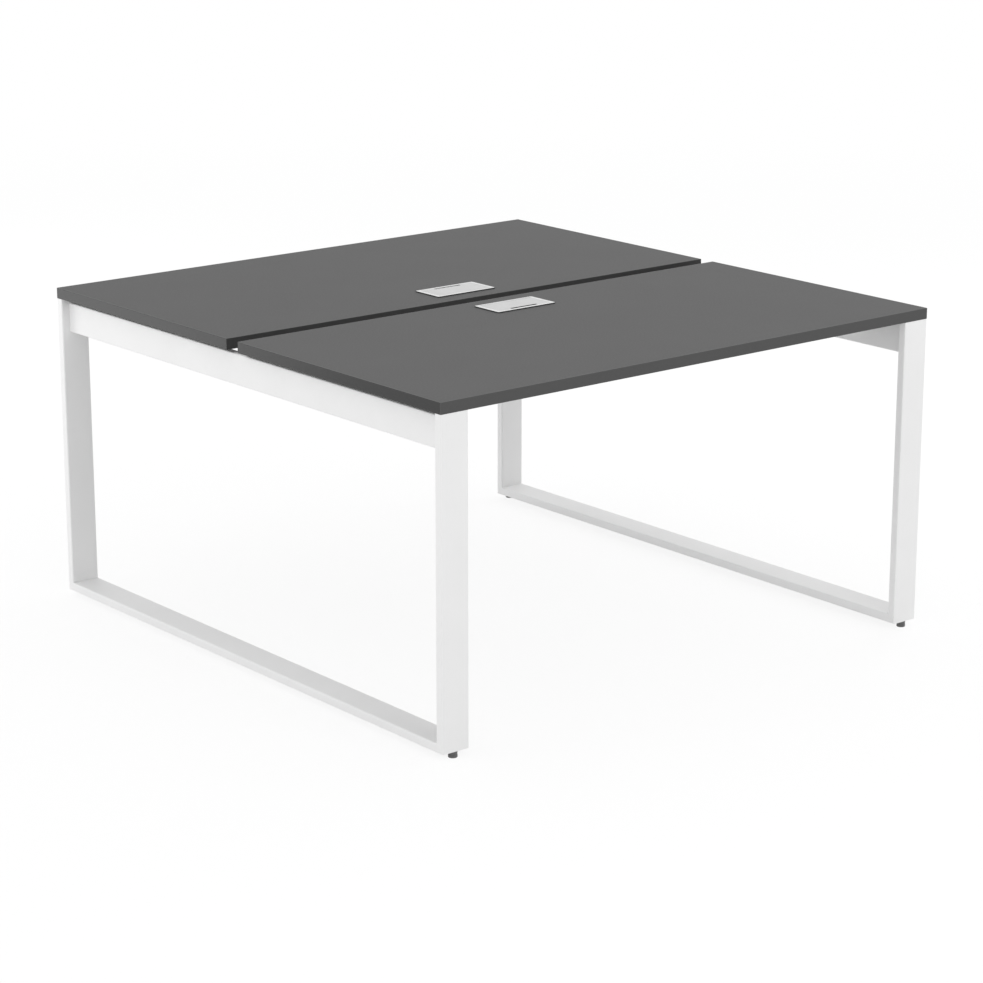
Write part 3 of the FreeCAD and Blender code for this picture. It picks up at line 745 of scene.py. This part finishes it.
def make_weld_bead(length):
    """A rippled weld bead along Z at the origin."""
    put_down()
    bpy.ops.mesh.primitive_cylinder_add(vertices=10, radius=BEAD_RADIUS, depth=length)
    bead = named("bead_master")
    pick("EDGE", lambda edge: highest(edge) - lowest(edge) > length / 2)
    rings = round(length / BEAD_RIPPLE)
    bpy.ops.mesh.subdivide(number_cuts=rings)
    step = length / (rings + 1)
    pick("VERT", lambda point: round((point.co.z + length / 2) / step) % 2 == 1)
    narrow(BEAD_WAIST)
    pick("VERT", lambda point: abs(point.co.z) > length / 2 - step / 2)
    narrow(BEAD_END)
    return close_up(bead, BEAD_SMOOTH_ANGLE)


# Pieces in their places

def row_distance(row):
    """How far a row of beams lies from the desk's middle."""
    low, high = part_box(f"rear_{row}_beam")
    return (low.y + high.y) / 2


BEAM_ROWS = {row: row_distance(row) for row in ("outer", "inner")}
PLATE_FACE = 656.0 * MM
RAIL_FACE = 660.0 * MM
BEAM_HALF_WIDTH = 15.0 * MM
BOLT_STEP = 28.0 * MM
BOLT_HEIGHT = 700.0 * MM
TAB_PITCH = 510.0 * MM
TAB_REACH = 27.5 * MM
TAB_THICKNESS = 3.0 * MM
SCREW_TURN = 0.4
PORT_SCREW_SIZE = 0.7
COLLAR_FACE = 75.0 * MM
BEAM_BEAD_LENGTH = 44.0 * MM
RAIL_BEAD_MARGIN = 8.0 * MM


def place_ports_and_feet():
    """Seals and slot lips of the ports, dark rubber that stands as painted shade, and the pads and studs of
    the levelling feet.
    """
    pad_master = make_foot_pad()
    stud_master = make_stud()
    for place in PLACES:
        dress(make_port_shade_seal(place), "desk", "bumper_rubber")
        dress(make_slot_shade_liner(place), f"{place}_lid", "bumper_rubber")
        for side in SIDES:
            corner = f"{place}_{side}"
            low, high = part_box(f"{corner}_foot_pad")
            spot = ((low.x + high.x) / 2, (low.y + high.y) / 2, low.z)
            pad = copy_to(pad_master, f"{corner}_glide", spot)
            dress(pad, f"{corner}_foot", "foot_plastic")
            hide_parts(f"{corner}_foot_pad")
            stud = copy_to(stud_master, f"{corner}_threaded_stud", spot)
            dress(stud, f"{corner}_stud", "zinc_steel")
            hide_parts(f"{corner}_foot_stud")
    discard(pad_master)
    discard(stud_master)


def place_bolts():
    """The bolts through the end plates of the beams."""
    master = make_bolt()
    copies = []
    for way in SIDES.values():
        turns = (0.0, way * math.pi / 2, 0.0)
        for sign in PLACES.values():
            for row_y in BEAM_ROWS.values():
                for step in (-1, 1):
                    spot = (way * PLATE_FACE, sign * row_y + step * BOLT_STEP, BOLT_HEIGHT)
                    copies.append(copy_to(master, f"bolt_{len(copies)}", spot, turns))
    discard(master)
    bolts = dress(gather("flange_bolts", copies), "desk", "zinc_steel")
    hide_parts("beam_bolts")


def place_screws():
    """The screws up through the tabs, and the screws through the collars of the ports."""
    master = make_wood_screw()
    copies = []
    for sign in PLACES.values():
        for row_y in BEAM_ROWS.values():
            for step in (-1, 0, 1):
                spot = (step * TAB_PITCH, sign * (row_y + TAB_REACH), UNDERSIDE - TAB_THICKNESS)
                turns = (0.0, 0.0, SCREW_TURN * len(copies))
                copies.append(copy_to(master, f"screw_{len(copies)}", spot, turns))
    screws = dress(gather("worktop_screws", copies), "desk", "zinc_steel")
    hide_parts("desktop_screws")
    for place in PLACES:
        low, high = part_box(f"{place}_port_screws")
        copies = []
        for way in SIDES.values():
            spot = (way * COLLAR_FACE, (low.y + high.y) / 2, (low.z + high.z) / 2)
            turns = (0.0, way * math.pi / 2, 0.0)
            copies.append(copy_to(master, f"collar_screw_{len(copies)}", spot, turns, PORT_SCREW_SIZE))
        screws = dress(gather(f"{place}_collar_screws", copies), "desk", "zinc_steel")
        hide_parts(f"{place}_port_screws")
    discard(master)


def place_welds():
    """Weld beads beside the beams' ends and at the ends of the top rails."""
    bead = make_weld_bead(BEAM_BEAD_LENGTH)
    for side, way in SIDES.items():
        for place, sign in PLACES.items():
            for row, row_y in BEAM_ROWS.items():
                for mark, step in (("near", -1), ("far", 1)):
                    spot = (way * PLATE_FACE, sign * row_y + step * BEAM_HALF_WIDTH, BOLT_HEIGHT)
                    name = f"{place}_{row}_{side}_{mark}_weld"
                    dress(copy_to(bead, name, spot), "desk", "white_powder_coat")
    discard(bead)
    low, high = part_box("right_top_rail")
    bead = make_weld_bead(high.z - low.z - RAIL_BEAD_MARGIN)
    for side, way in SIDES.items():
        for place, sign in PLACES.items():
            spot = (way * RAIL_FACE, sign * high.y, (low.z + high.z) / 2)
            dress(copy_to(bead, f"{side}_{place}_rail_weld", spot), "desk", "white_powder_coat")
    discard(bead)


place_ports_and_feet()
place_bolts()
place_screws()
place_welds()


# Floor, light and camera

FLOOR_SIZE = 24.0
FLOOR_SHOWN = 0.14
FLOOR_FADE_START = 2.5
FLOOR_FADE_END = 7.5
FLOOR_BOUNCE = 0.84
WORLD_LIGHT = 0.8
CAMERA_PLACE = (-4.092, -5.011, 2.108)
CAMERA_TURN = math.radians(50.63)
CAMERA_FALL = math.radians(15.71)
CAMERA_LENS = 105.4
SENSOR_WIDTH = 36.0


def lay_floor():
    """A pale floor. The camera sees the white surroundings through it, and the shadow on it."""
    put_down()
    bpy.ops.mesh.primitive_plane_add(size=FLOOR_SIZE, location=(0.0, 0.0, 0.0))
    floor = bpy.context.active_object
    floor.name = "floor"
    finish, shader = new_finish("pale_floor")
    nodes = finish.node_tree.nodes
    shader.inputs["Roughness"].default_value = 0.9
    shader.inputs["Specular IOR Level"].default_value = 0.0
    path = nodes.new("ShaderNodeLightPath")
    facing = nodes.new("ShaderNodeNewGeometry").outputs["Backfacing"]
    seen = sums(finish, "MAXIMUM", path.outputs["Is Camera Ray"], path.outputs["Is Glossy Ray"])
    seen = sums(finish, "MAXIMUM", seen, path.outputs["Is Transmission Ray"])
    colour = shades(finish, seen, grey(FLOOR_BOUNCE), grey(1.0), at_dark=0.0, at_light=1.0)
    join(finish, colour, shader.inputs["Base Color"])
    far = nodes.new("ShaderNodeVectorMath")
    far.operation = "LENGTH"
    join(finish, nodes.new("ShaderNodeTexCoord").outputs["Object"], far.inputs[0])
    unseen = spread(finish, far.outputs["Value"], 1.0 - FLOOR_SHOWN, 1.0, FLOOR_FADE_START, FLOOR_FADE_END)
    solid = sums(finish, "SUBTRACT", 1.0, sums(finish, "MULTIPLY", seen, unseen))
    solid = sums(finish, "MULTIPLY", solid, sums(finish, "SUBTRACT", 1.0, facing))
    clear = nodes.new("ShaderNodeBsdfTransparent")
    mix = nodes.new("ShaderNodeMixShader")
    join(finish, solid, mix.inputs["Fac"])
    join(finish, clear.outputs["BSDF"], mix.inputs[1])
    join(finish, shader.outputs["BSDF"], mix.inputs[2])
    join(finish, mix.outputs["Shader"], nodes["Material Output"].inputs["Surface"])
    floor.data.materials.append(finish)


def light_surroundings():
    """White to the camera and in reflections, softer as a light."""
    world = bpy.data.worlds.new("white_surroundings")
    world.use_nodes = True
    bpy.context.scene.world = world
    nodes = world.node_tree.nodes
    path = nodes.new("ShaderNodeLightPath")
    seen = sums(world, "MAXIMUM", path.outputs["Is Camera Ray"], path.outputs["Is Glossy Ray"])
    seen = sums(world, "MAXIMUM", seen, path.outputs["Is Transmission Ray"])
    level = spread(world, seen, WORLD_LIGHT, 1.0, at_low=0.0, at_high=1.0)
    background = nodes["Background"]
    background.inputs["Color"].default_value = (1.0, 1.0, 1.0, 1.0)
    join(world, level, background.inputs["Strength"])


def hang_softbox(name, place, aim, size, power, mirrored=False):
    """A large soft lamp at a place, aimed at a point, that shows in reflections only if mirrored."""
    put_down()
    bpy.ops.object.light_add(type="AREA", location=place)
    lamp = bpy.context.active_object
    lamp.name = name
    lamp.data.shape = "SQUARE"
    lamp.data.size = size
    lamp.data.energy = power
    lamp.rotation_euler = (Vector(aim) - Vector(place)).to_track_quat("-Z", "Y").to_euler()
    lamp.visible_glossy = mirrored
    lamp.visible_camera = False


def set_camera():
    """The photograph's view: from the left of the front, a little above the worktops."""
    put_down()
    bpy.ops.object.camera_add(location=CAMERA_PLACE)
    camera = bpy.context.active_object
    level = math.cos(CAMERA_FALL)
    look = Vector((math.cos(CAMERA_TURN) * level, math.sin(CAMERA_TURN) * level, -math.sin(CAMERA_FALL)))
    camera.rotation_euler = look.to_track_quat("-Z", "Y").to_euler()
    camera.data.sensor_width = SENSOR_WIDTH
    camera.data.lens = CAMERA_LENS
    bpy.context.scene.camera = camera


lay_floor()
light_surroundings()
hang_softbox("left_softbox", place=(-5.5, 0.5, 2.6), aim=(0.0, 0.0, 0.2), size=2.5, power=45.0)
hang_softbox("front_softbox", place=(-0.1, -4.6, 3.2), aim=(0.0, 0.0, 0.4), size=2.6, power=46.0)
hang_softbox("right_softbox", place=(3.8, 0.2, 2.4), aim=(0.7, 0.0, 0.0), size=2.0, power=36.0)
hang_softbox("rear_softbox", place=(0.0, 5.0, 2.0), aim=(0.0, 0.0, 0.2), size=2.5, power=34.0)
hang_softbox("rear_left_softbox", place=(-2.0, 2.45, 0.5), aim=(-0.7, 0.25, 0.6), size=1.1, power=6.5,
             mirrored=True)
set_camera()
bpy.context.scene.view_settings.view_transform = "Standard"
